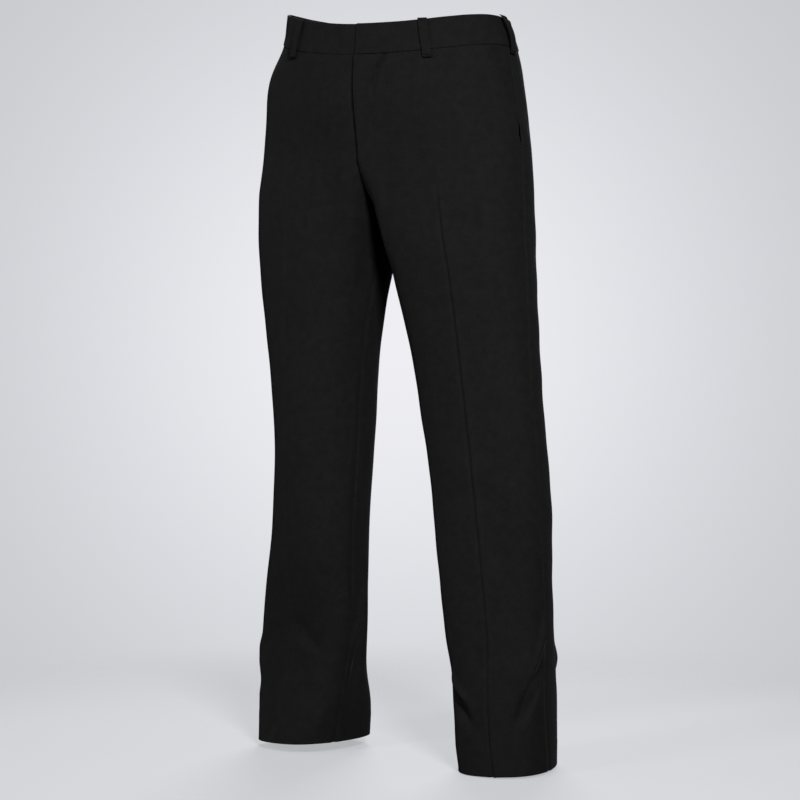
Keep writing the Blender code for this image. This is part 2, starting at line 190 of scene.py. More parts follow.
def angle_at(share, angles):
    """The section angle at a share of the way round, eased through the landmarks."""
    gaps = np.diff(LANDMARKS)
    rates = np.diff(angles) / gaps
    slopes = np.concatenate(
        [rates[:1], 2 * rates[:-1] * rates[1:] / (rates[:-1] + rates[1:]), rates[-1:]]
    )
    i = np.clip(np.searchsorted(LANDMARKS, share) - 1, 0, len(gaps) - 1)
    t = (share - LANDMARKS[i]) / gaps[i]
    start = (1 + 2 * t) * (1 - t) ** 2 * angles[i] + t * (1 - t) ** 2 * gaps[i] * slopes[i]
    end = t * t * (3 - 2 * t) * angles[i + 1] + t * t * (t - 1) * gaps[i] * slopes[i + 1]
    return start + end


def hip_point(angle, height):
    """A point of the oval hip section; angle 0 is the centre front, positive to the left."""
    column = {name: through(HIP["height"], HIP[name], height) for name in HIP_COLUMNS[1:]}
    depth = np.where(np.cos(angle) > 0, column["front_depth"], column["back_depth"])
    x = column["shift"] + column["half_width"] * np.sin(angle + HIP_FULLNESS * np.sin(2 * angle))
    y = -depth * np.cos(angle - HIP_FULLNESS * np.sin(2 * angle))
    out = 0.0
    for heights, rises, at in (
        (SPREAD_HEIGHTS, SPREAD_MM, SPREAD_AT), (LEAN_HEIGHTS, LEAN_MM, LEAN_AT),
    ):
        from_middle = (angle - at + math.pi) % (2 * math.pi) - math.pi
        out = out + through(heights, rises, height) * np.exp(-((from_middle / BROAD) ** 2)) / 1000
    return x + out * np.sin(angle), y - out * np.cos(angle)


def leg_point(side, share, height):
    """A point of one leg's section, fuller than an ellipse and turned toe-out."""
    leg = LEGS[side]
    column = {name: through(leg["height"], leg[name], height) for name in LEG_COLUMNS[1:]}
    angle = angle_at(share, LEG_ANGLES[side])
    full = column["fullness"]
    depth = np.where(np.cos(angle) > 0, column["front_depth"], column["back_depth"])
    out = column["half_width"] * (np.sin(angle) + full * np.sin(3 * angle)) / (1 - full)
    back = -depth * (np.cos(angle) - full * np.cos(3 * angle)) / (1 - full)
    turn = np.radians(column["turn"])
    x = side * (column["centre_x"] + out * np.cos(turn) - back * np.sin(turn))
    y = column["centre_y"] + back * np.cos(turn) + out * np.sin(turn)
    return x, y


def forked_point(side, share, height):
    """Hip and leg sections blended. The crotch seam turns in sharply, the cloth beside it softly."""
    hip_x, hip_y = hip_point(side * angle_at(share, HIP_ANGLES), height)
    leg_x, leg_y = leg_point(side, share, height)
    inner = np.maximum(
        smooth(1 - share / FRONT_CREASE), smooth((share - BACK_CREASE) / (1 - BACK_CREASE))
    )
    fork = np.where(share < SIDE_SEAM, FRONT_FORK, BACK_FORK)
    off_seam = np.minimum(np.abs(share), np.abs(1 - share))
    drop, reach = FORK_DROP[side]
    lowest = CROTCH - drop * smooth(off_seam / reach)
    fall = np.clip((fork - height) / (fork - lowest), 0, 1)
    tight = smooth(1 - off_seam / FORK_TIGHT[side])
    sharp = 0.45 * (1 - np.sqrt(1 - fall**2)) + 0.55 * fall**2.6
    turned = tight * sharp + (1 - tight) * smooth(fall) ** FORK_LATE[side]
    low, high = OUTSIDE_FORK
    leg_share = inner * turned + (1 - inner) * smooth((high - height) / (high - low))
    return hip_x + (leg_x - hip_x) * leg_share, hip_y + (leg_y - hip_y) * leg_share


def body_point(side, share, height):
    """The smooth body surface: both legs meet on one centre line and stay clear of each other."""
    x, y = forked_point(side, share, height)
    end = np.clip(np.round(share), 0, 1)
    at = np.maximum(height, CROTCH)
    own_x, own_y = forked_point(side, end, at)
    other_y = forked_point(-side, end, at)[1]
    centre = through(HIP["height"], HIP["shift"], at)
    near = smooth(1 - np.abs(share - end) / 0.12) * smooth((height - CROTCH + 0.08) / 0.08)
    x = x + (centre - own_x) * near
    y = y + ((own_y + other_y) / 2 - own_y) * near
    clear = np.clip((CROTCH - height) * 0.02, 0, THIGH_CLEARANCE)
    apart = side * np.maximum(side * (x - centre), clear)
    x = np.where(height < CROTCH, centre + apart, x)
    return np.stack([x, y, height - WAIST + 0 * x], axis=-1)


def waist_seam(angle):
    """Height of the waist seam; the back keeps the height of the sides."""
    rise = np.where(np.cos(angle) > 0, np.sin(angle) ** 2, 1.0)
    return FRONT_WAIST + SIDE_RISE * rise - WAIST_TILT * np.sin(angle)


def unit(vectors):
    return vectors / np.linalg.norm(vectors, axis=-1, keepdims=True)


def normals_at(side, share, height):
    """Outward normals of the smooth body surface."""
    step = 0.002
    lined = height > CROTCH  # above the crotch the inner line is the centre seam
    low, high = np.where(lined, 0.0, -1.0), np.where(lined, 1.0, 2.0)
    before = np.clip(share - step, low, high)
    after = np.clip(share + step, low, high)
    across = body_point(side, after % 1.0 + (after == 1), height)
    across = across - body_point(side, before % 1.0, height)
    up = body_point(side, share, height + step) - body_point(side, share, height - step)
    normals = unit(side * np.cross(across, up))
    on_centre = ((share <= 0) | (share >= 1)) & lined
    normals[..., 0] *= np.where(on_centre, 0, 1)
    return unit(normals)


# Folds of one leg: rise in millimetres before FOLD_DEPTH (a trough is negative), half width in
# millimetres, and the line it follows as (share round the leg, height).
FOLD_COLUMNS = ("rise", "half_width", "line")
FOLDS = {
    1: (
        (2.0, 7, ((0.462, 0.232), (0.446, 0.192), (0.420, 0.162), (0.374, 0.124), (0.330, 0.100))),
        (-5.0, 9, ((0.448, 0.150), (0.424, 0.128), (0.385, 0.100), (0.345, 0.078), (0.300, 0.050))),
        (1.0, 14, ((0.400, 0.170), (0.360, 0.140), (0.310, 0.110))),
        (2.2, 6, ((0.080, 0.132), (0.118, 0.114), (0.153, 0.100), (0.205, 0.078))),
        (-3.4, 9, ((0.075, 0.112), (0.120, 0.092), (0.165, 0.068), (0.205, 0.050))),
        (-0.9, 14, ((0.235, 0.170), (0.215, 0.150), (0.195, 0.128))),
        (0.9, 20, ((0.330, 0.300), (0.345, 0.420), (0.350, 0.560))),
        (-0.7, 18, ((0.130, 0.260), (0.120, 0.400), (0.105, 0.560))),
        (1.7, 5, ((0.116, 0.990), (0.091, 0.970), (0.068, 0.953), (0.055, 0.930), (0.051, 0.908))),
        (-2.7, 3.4, ((0.132, 0.994), (0.104, 0.972), (0.080, 0.954), (0.067, 0.932), (0.062, 0.906))),
        (-0.8, 12, ((0.060, 0.800), (0.100, 0.775), (0.140, 0.740))),
        (-1.5, 14, ((0.540, 0.520), (0.640, 0.500), (0.740, 0.505), (0.840, 0.520))),
        (1.3, 12, ((0.560, 0.490), (0.660, 0.470), (0.760, 0.474), (0.850, 0.490))),
        (-1.2, 12, ((0.600, 0.440), (0.690, 0.428), (0.790, 0.436))),
        (1.6, 8, ((0.930, 0.250), (0.905, 0.205), (0.870, 0.165), (0.830, 0.130))),
        (-1.8, 11, ((0.915, 0.190), (0.875, 0.145), (0.820, 0.105))),
        (1.5, 8, ((0.560, 0.170), (0.600, 0.130), (0.650, 0.095))),
        (-1.6, 10, ((0.570, 0.140), (0.620, 0.100), (0.675, 0.070))),
        (-1.6, 16, ((0.960, 0.830), (0.900, 0.800), (0.820, 0.775), (0.740, 0.765))),
        (1.2, 14, ((0.960, 0.860), (0.890, 0.832), (0.810, 0.806), (0.730, 0.796))),
        (-1.0, 14, ((0.950, 0.780), (0.890, 0.745), (0.820, 0.715))),
    ),
    -1: (
        (2.4, 6, ((0.905, 0.272), (0.925, 0.240), (0.954, 0.204), (0.974, 0.161), (0.990, 0.083))),
        (-3.2, 9, ((0.885, 0.250), (0.910, 0.205), (0.940, 0.150), (0.960, 0.080), (0.965, 0.040))),
        (-1.8, 10, ((0.225, 0.190), (0.185, 0.158), (0.127, 0.130))),
        (0.5, 12, ((0.215, 0.160), (0.170, 0.132), (0.120, 0.112))),
        (0.9, 7, ((0.215, 0.084), (0.232, 0.062), (0.262, 0.008))),
        (-1.0, 10, ((0.220, 0.070), (0.236, 0.045), (0.262, 0.000))),
        (0.8, 22, ((0.320, 0.280), (0.335, 0.420), (0.340, 0.560))),
        (-0.7, 18, ((0.120, 0.300), (0.115, 0.430), (0.105, 0.560))),
        (-0.8, 12, ((0.050, 0.810), (0.095, 0.780), (0.140, 0.742))),
        (-1.6, 14, ((0.550, 0.540), (0.650, 0.515), (0.750, 0.512), (0.850, 0.530))),
        (1.3, 12, ((0.560, 0.505), (0.660, 0.482), (0.760, 0.480), (0.840, 0.500))),
        (-1.1, 13, ((0.590, 0.452), (0.700, 0.440), (0.800, 0.452))),
        (1.7, 8, ((0.500, 0.235), (0.530, 0.190), (0.575, 0.150), (0.620, 0.120))),
        (-1.8, 11, ((0.510, 0.175), (0.560, 0.130), (0.620, 0.092))),
        (1.4, 9, ((0.400, 0.160), (0.380, 0.120), (0.350, 0.088))),
        (-1.5, 11, ((0.420, 0.135), (0.395, 0.096), (0.365, 0.066))),
        (-1.6, 16, ((0.960, 0.824), (0.900, 0.795), (0.820, 0.772), (0.740, 0.760))),
        (1.2, 14, ((0.960, 0.856), (0.890, 0.828), (0.810, 0.802), (0.730, 0.790))),
        (-1.0, 14, ((0.950, 0.775), (0.890, 0.742), (0.820, 0.712))),
    ),
}

FOLD_DEPTH = 2.4  # how many times its rise in the table each fold is made
FRONT_CREASE_TOP = {1: 0.830, -1: 0.880}
BACK_CREASE_TOP = 0.800
CREASE_RISE_MM = {1: 2.8, -1: 1.4}
CREASE_EDGE_MM = {1: 2.6, -1: 1.0}
CREASE_REACH_MM = 9.0
ALLOWANCE_MM = 11.0
UNDER_MM = 3.2  # how deep the right front lies beside the left one's edge
FLY_FACING_RISE = 0.0004  # the facing behind the fly lifts the cloth inside its row of stitches
LAP_EDGE_RISE = 0.0012
MOUTH_RIDGE = 0.0009  # the pocket mouth's turned-in cloth, and the dip at its folded edge
MOUTH_DIP = 0.0018
TURN_UP_RISE = 0.00025
CLOTH_SUNK = 0.0004  # the cloth's plain face lies this far under the body surface
HEM_DEPTH = 0.035
HEM_TAIL = (0.0008, 0.003, 0.008, 0.018, 0.028, 0.034)  # the turn-up inside the hem
FLY_STITCH = (  # the fly's curved row of stitches as (share, height)
    (0.095, 0.974), (0.094, 0.930), (0.089, 0.895), (0.078, 0.862), (0.056, 0.840), (0.012, 0.829),
)


def girth_at(height):
    return np.interp(height, GIRTH_HEIGHTS, GIRTHS)


def fold_rise(share, height, rise, half_width, line):
    """A soft ridge or trough along a line, in metres, that fades out at both ends."""
    line = np.array(line)
    across = (share - line[0, 0] + 0.5) % 1.0 - 0.5 + line[0, 0]
    x, z = across * girth_at(height), height
    points = np.stack([line[:, 0] * girth_at(line[:, 1]), line[:, 1]], axis=-1)
    lengths = np.linalg.norm(np.diff(points, axis=0), axis=1)
    nearest = np.full(np.shape(x), 9.0)
    along = np.zeros(np.shape(x))
    done = 0.0
    for start, end, length in zip(points[:-1], points[1:], lengths):
        dx, dz = (end - start) / length
        t = np.clip((x - start[0]) * dx + (z - start[1]) * dz, 0, length)
        away = np.hypot(x - start[0] - t * dx, z - start[1] - t * dz)
        along = np.where(away < nearest, done + t, along)
        nearest = np.minimum(away, nearest)
        done += length
    t = along / done
    swell = smooth(t / 0.35) * smooth((1 - t) / 0.45)
    return FOLD_DEPTH * rise / 1000 * swell * np.exp(-((nearest * 1000 / half_width) ** 2))


def ripples(side, share, height):
    """Slow unevenness of cloth that has been worn and pressed, mostly within half a millimetre."""
    chance = np.random.default_rng(21 + side)
    total = 0.0
    for _ in range(14):
        around = 2 * math.pi * chance.integers(1, 7)
        up = 2 * math.pi / chance.uniform(0.05, 0.30)
        phase = chance.uniform(0, 2 * math.pi)
        slant = chance.uniform(-0.06, 0.06)
        total = total + np.sin(around * (share + slant * height) + up * height + phase)
    return 0.00011 * total


def crease_rise(side, share, height, at, top):
    """A pressed crease: a low ridge with a fine edge and a fine groove on its inseam side."""
    away = (share - at) * np.sign(SIDE_SEAM - at) * girth_at(height) * 1000
    fade = smooth((top - height) / 0.10)
    slope = np.hypot(away, 0.8) - 0.8
    ridge = CREASE_RISE_MM[side] * np.exp(-slope / CREASE_REACH_MM)
    edge = 0.6 * np.exp(-(((away - 1.8) / 2.2) ** 2)) - np.exp(-(((away + 2.2) / 2.2) ** 2))
    return fade * (ridge + CREASE_EDGE_MM[side] * edge) / 1000


def seam_rise(side, share, height):
    """The pressed-open allowances beside a seam, and a little pucker along it."""
    inner = np.minimum(np.abs(share), np.abs(1 - share)) * girth_at(height) * 1000
    outer = np.abs(share - SIDE_SEAM) * girth_at(height) * 1000
    total = 0.0
    for away, start in ((inner, 0.3), (outer, 1.9)):
        allowance = 0.30 * smooth((ALLOWANCE_MM + 1.5 - away) / 3.0)
        sunk = 1.9 * np.exp(-((away / np.where(share < SIDE_SEAM, 4.4, 1.9)) ** 2))
        wave = np.sin(height * 410 + start) + np.sin(height * 655 + 2 * start)
        total = total + allowance - sunk + 0.10 * wave * np.exp(-((away / 7.0) ** 2))
    return total / 1000


def relief(side, share, height):
    """How far the cloth stands off the smooth body surface, in metres."""
    rise = ripples(side, share, height) + seam_rise(side, share, height)
    rise = rise + crease_rise(side, share, height, FRONT_CREASE, FRONT_CREASE_TOP[side])
    rise = rise + crease_rise(side, share, height, BACK_CREASE, BACK_CREASE_TOP)
    for row in FOLDS[side]:
        rise = rise + fold_rise(share, height, **dict(zip(FOLD_COLUMNS, row)))
    turn_up = smooth((HEM[side] + HEM_DEPTH - height) / 0.002)
    if side > 0:
        line = np.array(FLY_STITCH)[::-1]
        inside = np.interp(height, line[:, 1], line[:, 0]) - share
        faced = smooth(inside / 0.006 + 0.5)
        rise = rise + FLY_FACING_RISE * faced * smooth((height - FLY_BOTTOM) / 0.01)
    high = smooth((height - FLY_BOTTOM + 0.01) / 0.02)
    if side > 0:
        rise = rise + LAP_EDGE_RISE * high * np.exp(-((share / 0.02) ** 2))
    else:
        sunk = UNDER_MM * smooth((height - CROTCH) / 0.09) / 1000
        rise = rise - sunk * np.exp(-np.abs(share) / (0.010 + 0.018 * high))
    pocket = smooth((height - POCKET_BOTTOM) / 0.02) * (share < SIDE_SEAM - 0.001)
    beside = (share - pocket_edge(side, height)) * girth_at(height) * 1000
    rise = rise + MOUTH_RIDGE * pocket * np.exp(-(((beside + 7.0) / 4.0) ** 2))
    rise = rise - MOUTH_DIP * pocket * np.exp(-((beside / 3.5) ** 2))
    calm_waist = 0.35 + 0.65 * smooth((FRONT_WAIST + 0.006 - height) / 0.03)
    return rise * calm_waist + TURN_UP_RISE * turn_up - CLOTH_SUNK


def cloth_point(side, share, height, depth):
    """A point of the cloth, depth metres under its outer face."""
    fly = smooth((height - FLY_BOTTOM + FLY_FADE) / FLY_FADE) * smooth(1 - share / FLY_REACH)
    out = relief(side, share, height) + side * FLY_LAYER * fly - depth
    at = np.clip(share, 0, 1)
    return body_point(side, share, height) + normals_at(side, at, height) * out[..., None]


def spaced(start, stop, coarse, fine, close_to, reach):
    """Values from start to stop, with steps from coarse down to fine near the given places."""
    ruler = np.linspace(start, stop, 4001)
    nearness = sum(np.exp(-(((ruler - place) / reach) ** 2)) for place in close_to)
    steps = coarse + (fine - coarse) * np.clip(nearness, 0, 1)
    counted = np.concatenate([[0], np.cumsum(2 / (steps[1:] + steps[:-1]) * np.abs(np.diff(ruler)))])
    count = int(round(counted[-1]))
    return np.interp(np.linspace(0, counted[-1], count + 1), counted, ruler)


def turned_edge(radius, fold, tail=(0.0008, 0.0025, 0.0060)):
    """Steps round a turned edge: how far back from the edge and how deep under the face each is.

    fold 0 turns the cloth straight in, as at a seam; fold 1 turns it back on itself."""
    angles = np.linspace(0, 1, 8)[1:] * (math.pi / 2) * (1 + fold)
    tail = np.array(tail)
    back = np.concatenate([radius * (1 - np.sin(angles)), radius * fold + tail * (0.25 + 0.75 * fold)])
    deep = np.concatenate(
        [radius * (1 - np.cos(angles)), radius * (1 + fold) + tail * 0.35 * (1 - fold)]
    )
    return back, deep


def pocket_edge(side, height):
    """Share of the way round where the front ends: the pocket mouth, then the side seam."""
    seam = waist_seam(side * HIP_ANGLES[2])
    up = np.clip((height - POCKET_BOTTOM) / (seam - POCKET_BOTTOM), 0, 1)
    return SIDE_SEAM - POCKET_SHARE * up


def closed(name, outer, inner, side, grain):
    """A closed wall between two grids of points, with UVs in metres along the grain."""
    rows, columns = outer.shape[:2]
    behind = rows * columns
    index = np.arange(behind).reshape(rows, columns)
    quads = np.stack(
        [index[:-1, :-1], index[1:, :-1], index[1:, 1:], index[:-1, 1:]], axis=-1
    ).reshape(-1, 4)
    rim = np.concatenate([index[0], index[1:, -1], index[-1, -2::-1], index[-2:0:-1, 0]])
    after = np.roll(rim, -1)
    sides = np.stack([rim, after, after + behind, rim + behind], axis=-1)
    faces = np.concatenate([quads, quads[:, ::-1] + behind, sides])
    if side < 0:
        faces = faces[:, ::-1]
    mesh = bpy.data.meshes.new(name)
    mesh.from_pydata(np.concatenate([outer.reshape(-1, 3), inner.reshape(-1, 3)]), [], faces.tolist())
    mesh.shade_smooth()
    mesh.set_sharp_from_angle(angle=math.radians(50))
    layer = mesh.uv_layers.new(name="grain")
    corner = np.zeros(len(mesh.loops), np.int32)
    mesh.loops.foreach_get("vertex_index", corner)
    layer.data.foreach_set("uv", np.concatenate([grain, grain]).reshape(-1, 2)[corner].ravel())
    piece = bpy.data.objects.new(name, mesh)
    bpy.context.scene.collection.objects.link(piece)
    return piece


def shell(name, outer, thick, side, grain):
    """A closed thin wall under one grid of points."""
    normals = unit(np.cross(np.gradient(outer, axis=0), np.gradient(outer, axis=1)) * side)
    return closed(name, outer, outer - normals * thick, side, grain)


def panel(name, side, back):
    """One panel as a grid: columns across it, rows down it, with every edge turned."""
    edge_radius = 0.0008
    fork = BACK_FORK if back else FRONT_FORK
    hem_back, hem_deep = turned_edge(0.0009, 1.0, HEM_TAIL)
    top_back, top_deep = turned_edge(0.0007, 0.0)
    if back:
        across = spaced(SIDE_SEAM, 1.0, 0.0068, 0.0018, (SIDE_SEAM, BACK_CREASE, 1.0), 0.012)
    else:
        across = spaced(0.0, SIDE_SEAM, 0.0050, 0.0018, (0.0, FRONT_CREASE, SIDE_SEAM), 0.011)
    lined = len(top_back)
    hip_rows = np.linspace(0, 1, 60)
    fork_rows = np.linspace(0, math.pi / 2, 48)[1:]
    leg_rows = spaced(CROTCH, HEM[side] + hem_back[0], 0.0031, 0.0012, (CROTCH, HEM[side]), 0.006)[1:]

    def heights(top):
        top = top[None]
        hip = top - top_back[0] + (fork - top + top_back[0]) * hip_rows[:, None]
        bend = fork - (fork - CROTCH) * np.sin(fork_rows)[:, None] + 0 * top
        leg = leg_rows[:, None] + 0 * top
        above = top - top_back[::-1][:, None]
        below = HEM[side] + hem_back[:, None] + 0 * top
        return np.concatenate([above[:-1], hip, bend, leg, below[1:]])

    row_depth = np.concatenate(
        [top_deep[::-1][:-1], np.zeros(len(hip_rows) + len(fork_rows) + len(leg_rows)), hem_deep[1:]]
    )[:, None]
    middle = heights(waist_seam(side * angle_at(across[len(across) // 2 : len(across) // 2 + 1], HIP_ANGLES)))

    def share_of(distance, share):
        """Turns metres across the cloth at an edge into share, row by row."""
        step = 0.004
        inside = np.where(share > 0.5, share - step, share + step)
        away = body_point(side, inside, middle) - body_point(side, share, middle)
        return distance * step / np.linalg.norm(away, axis=-1)

    if back:
        first, last = SIDE_SEAM + 0 * middle, 1.0 + 0 * middle
        first_fold = last_fold = 0 * middle
    else:
        lap = FLY_LAP[side] * smooth((middle - FLY_BOTTOM) / 0.02)
        first = -share_of(lap, 0 * middle)
        last = pocket_edge(side, middle)
        first_fold = smooth((middle - FLY_BOTTOM) / 0.006)
        last_fold = smooth((middle - POCKET_BOTTOM) / 0.006)

    shares, depths = [], []
    for edge, fold, sign in ((first, first_fold, 1), (last, last_fold, -1)):
        backs, deeps = zip(*(turned_edge(edge_radius, f) for f in fold[:, 0]))
        backs = np.array(backs) + SEAM_GAP / 2
        turned = edge + sign * share_of(backs, edge)
        shares.append(turned[:, ::-1] if sign > 0 else turned)
        depths.append(np.array(deeps)[:, ::-1] if sign > 0 else np.array(deeps))
    start, stop = shares[0][:, -1:], shares[1][:, :1]
    crease = BACK_CREASE if back else FRONT_CREASE
    inside = np.where(
        across <= crease,
        start + (crease - start) * (across - across[0]) / (crease - across[0]),
        crease + (stop - crease) * (across - crease) / (across[-1] - crease),
    )
    share = np.concatenate([shares[0][:, :-1], inside, shares[1][:, 1:]], axis=1)
    depth = np.concatenate(
        [depths[0][:, :-1], np.zeros_like(inside), depths[1][:, 1:]], axis=1
    )
    height = heights(waist_seam(side * angle_at(np.clip(share[lined], 0, 1), HIP_ANGLES)))
    low = smooth(1 - (height - HEM[side]) / 0.25)
    drop, lowest = HEM_DROP[side]
    height = height - drop * np.abs(np.cos(math.pi * (share - lowest))) ** 3 * low
    outer = cloth_point(side, share, height, depth + row_depth)
    steps = np.linalg.norm(np.diff(outer, axis=1), axis=-1)
    run = np.concatenate([np.zeros((len(outer), 1)), np.cumsum(steps, axis=1)], axis=1)
    middle_column = int(np.argmin(np.abs(share[0] - crease)))
    grain = np.stack([run - run[:, middle_column : middle_column + 1], height], axis=-1)
    return shell(name, outer, CLOTH_MM / 1000, side, grain)


def linear(code):
    """An sRGB hex colour as linear RGBA."""
    values = [int(code[i : i + 2], 16) / 255 for i in (1, 3, 5)]
    return (*[v / 12.92 if v <= 0.04045 else ((v + 0.055) / 1.055) ** 2.4 for v in values], 1.0)


def add(tree, kind, links=(), **settings):
    """Adds a node: settings are its properties or its inputs' values, links join its inputs."""
    node = tree.nodes.new(kind)
    for name, value in settings.items():
        if hasattr(node, name):
            setattr(node, name, value)
        else:
            node.inputs[int(name[1:]) if name[1:].isdigit() else name.replace("_", " ")].default_value = value
    for name, output in dict(links).items():
        tree.links.new(output, node.inputs[name])
    return node


def suiting(name, colour="#151515", rough=0.88):
    """Black polyester and cotton suiting: a close plain weave, matt, with a very slight bloom.

    The threads lie 0.45 mm apart, and are drawn 0.9 mm apart so that they show close up."""
    material = bpy.data.materials.new(name)
    material.use_nodes = True
    tree = material.node_tree
    shader = tree.nodes["Principled BSDF"]
    grain = add(tree, "ShaderNodeUVMap", uv_map="grain")
    threads = add(tree, "ShaderNodeVectorMath", {0: grain.outputs[0]}, operation="SCALE")
    threads.inputs["Scale"].default_value = math.pi / 0.0009
    axes = add(tree, "ShaderNodeSeparateXYZ", {0: threads.outputs[0]})
    warp = add(tree, "ShaderNodeMath", {0: axes.outputs[0]}, operation="SINE")
    weft = add(tree, "ShaderNodeMath", {0: axes.outputs[1]}, operation="SINE")
    weave = add(tree, "ShaderNodeMath", {0: warp.outputs[0], 1: weft.outputs[0]}, operation="MULTIPLY")
    place = add(tree, "ShaderNodeTexCoord")
    clouds = add(tree, "ShaderNodeTexNoise", {"Vector": place.outputs["Object"]}, Scale=85.0, Detail=4.0)
    slubs = add(tree, "ShaderNodeTexNoise", {"Vector": place.outputs["Object"]}, Scale=420.0, Detail=2.0)
    mottle = add(tree, "ShaderNodeMath", {0: clouds.outputs[0], 1: slubs.outputs[0]}, operation="ADD")
    shade = add(
        tree, "ShaderNodeMapRange", {0: mottle.outputs[0]},
        _1=0.7, _2=1.3, _3=0.76, _4=1.24,
    )
    base = add(tree, "ShaderNodeRGB")
    base.outputs[0].default_value = linear(colour)
    tinted = add(
        tree, "ShaderNodeVectorMath", {0: base.outputs[0], "Scale": shade.outputs[0]}, operation="SCALE"
    )
    tree.links.new(tinted.outputs[0], shader.inputs["Base Color"])
    bump = add(tree, "ShaderNodeBump", {"Height": weave.outputs[0]}, Strength=0.35, Distance=0.00012)
    pile = add(
        tree, "ShaderNodeBump", {"Height": clouds.outputs[0], "Normal": bump.outputs[0]},
        Strength=0.30, Distance=0.0006,
    )
    tree.links.new(pile.outputs[0], shader.inputs["Normal"])
    shader.inputs["Roughness"].default_value = rough
    shader.inputs["Specular IOR Level"].default_value = 0.12
    shader.inputs["Sheen Weight"].default_value = 0.02
    shader.inputs["Sheen Roughness"].default_value = 0.45
    return material


PANEL_CLOTH = suiting("suiting_plain_weave")
FRONT_CUT = (0.305, 1.035)  # the widest and longest of either front's cut that shows, rounded up
BACK_CUT = (0.345, 1.100)
for side, word in ((1, "left"), (-1, "right")):
    for part, cut in (("front", FRONT_CUT), ("back", BACK_CUT)):
        name = f"{part}_{word}"
        piece = panel(f"{name}_cloth", side, part == "back")
        piece.data.materials.append(PANEL_CLOTH)
        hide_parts(name)
        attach(piece, "root")


# ================================================================ Stitches of the fly
# Black spun polyester thread through the left front: the curved row that holds the fly facing
# down, and a short bar tack where it meets the centre seam. The same stitch is used further on.


def stitch_nodes():
    """Lays one capped stitch after another along the edges of a mesh, turned to its "out"."""
    tree = bpy.data.node_groups.new("stitches", "GeometryNodeTree")
    face = tree.interface
    face.new_socket("Rows", in_out="INPUT", socket_type="NodeSocketGeometry")
    for name in ("Pitch", "Along", "Across", "Height"):
        face.new_socket(name, in_out="INPUT", socket_type="NodeSocketFloat")
    face.new_socket("Thread", in_out="INPUT", socket_type="NodeSocketMaterial")
    face.new_socket("Stitches", in_out="OUTPUT", socket_type="NodeSocketGeometry")
    given = add(tree, "NodeGroupInput")
    lines = add(tree, "GeometryNodeMeshToCurve", {"Mesh": given.outputs["Rows"]})
    spots = add(
        tree, "GeometryNodeResampleCurve",
        {"Curve": lines.outputs["Curve"], "Length": given.outputs["Pitch"]}, mode="LENGTH",
    )
    bead = add(tree, "GeometryNodeMeshUVSphere", Segments=8, Rings=5, Radius=0.5)
    tangent = add(tree, "GeometryNodeInputTangent")
    ahead = add(tree, "FunctionNodeAlignRotationToVector", {"Vector": tangent.outputs[0]}, axis="X")
    outward = add(tree, "GeometryNodeInputNamedAttribute", data_type="FLOAT_VECTOR", Name="out")
    upright = add(
        tree, "FunctionNodeAlignRotationToVector",
        {"Rotation": ahead.outputs[0], "Vector": outward.outputs["Attribute"]},
        axis="Z", pivot_axis="X",
    )
    size = add(
        tree, "ShaderNodeCombineXYZ",
        {0: given.outputs["Along"], 1: given.outputs["Across"], 2: given.outputs["Height"]},
    )
    placed = add(
        tree, "GeometryNodeInstanceOnPoints",
        {
            "Points": spots.outputs["Curve"], "Instance": bead.outputs["Mesh"],
            "Rotation": upright.outputs[0], "Scale": size.outputs[0],
        },
    )
    real = add(tree, "GeometryNodeRealizeInstances", {"Geometry": placed.outputs["Instances"]})
    coloured = add(
        tree, "GeometryNodeSetMaterial",
        {"Geometry": real.outputs["Geometry"], "Material": given.outputs["Thread"]},
    )
    add(tree, "NodeGroupOutput", {"Stitches": coloured.outputs["Geometry"]})
    return tree


STITCHES = stitch_nodes()


def spun_thread(name):
    """Spun polyester sewing thread, black, with a duller shine than filament thread."""
    material = bpy.data.materials.new(name)
    material.use_nodes = True
    shader = material.node_tree.nodes["Principled BSDF"]
    shader.inputs["Base Color"].default_value = linear("#131313")
    shader.inputs["Roughness"].default_value = 0.75
    shader.inputs["Specular IOR Level"].default_value = 0.2
    return material


THREAD = spun_thread("thread_spun_polyester")


def sewn(name, lines, pitch=0.0027, along=0.0023, across=0.00042, height=0.00030, thread=THREAD):
    """Rows of stitches; each line is a pair of arrays, its points and their outward normals."""
    points = np.concatenate([line for line, _ in lines])
    normals = np.concatenate([outward for _, outward in lines])
    edges = []
    first = 0
    for line, _ in lines:
        edges += [(i, i + 1) for i in range(first, first + len(line) - 1)]
        first += len(line)
    mesh = bpy.data.meshes.new(name)
    mesh.from_pydata(points.tolist(), edges, [])
    mesh.attributes.new("out", "FLOAT_VECTOR", "POINT").data.foreach_set("vector", normals.ravel())
    piece = bpy.data.objects.new(name, mesh)
    bpy.context.scene.collection.objects.link(piece)
    modifier = piece.modifiers.new("stitches", "NODES")
    modifier.node_group = STITCHES
    values = {"Pitch": pitch, "Along": along, "Across": across, "Height": height, "Thread": thread}
    for item in STITCHES.interface.items_tree:
        if item.name in values:
            modifier[item.identifier] = values[item.name]
    made = piece.evaluated_get(bpy.context.evaluated_depsgraph_get())
    piece.data = bpy.data.meshes.new_from_object(made)
    piece.modifiers.clear()
    piece.data.shade_smooth()
    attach(piece, "root")
    return piece


TACK = {"pitch": 0.00045, "along": 0.00042, "across": 0.0020, "height": 0.0007}


def on_cloth(side, share, height):
    """A row of stitch points on the outer face of a front, with normals."""
    share, height = np.array(share), np.array(height)
    points = cloth_point(side, share, height, -0.00005 + 0 * share)
    return points, normals_at(side, np.clip(share, 0, 1), height)


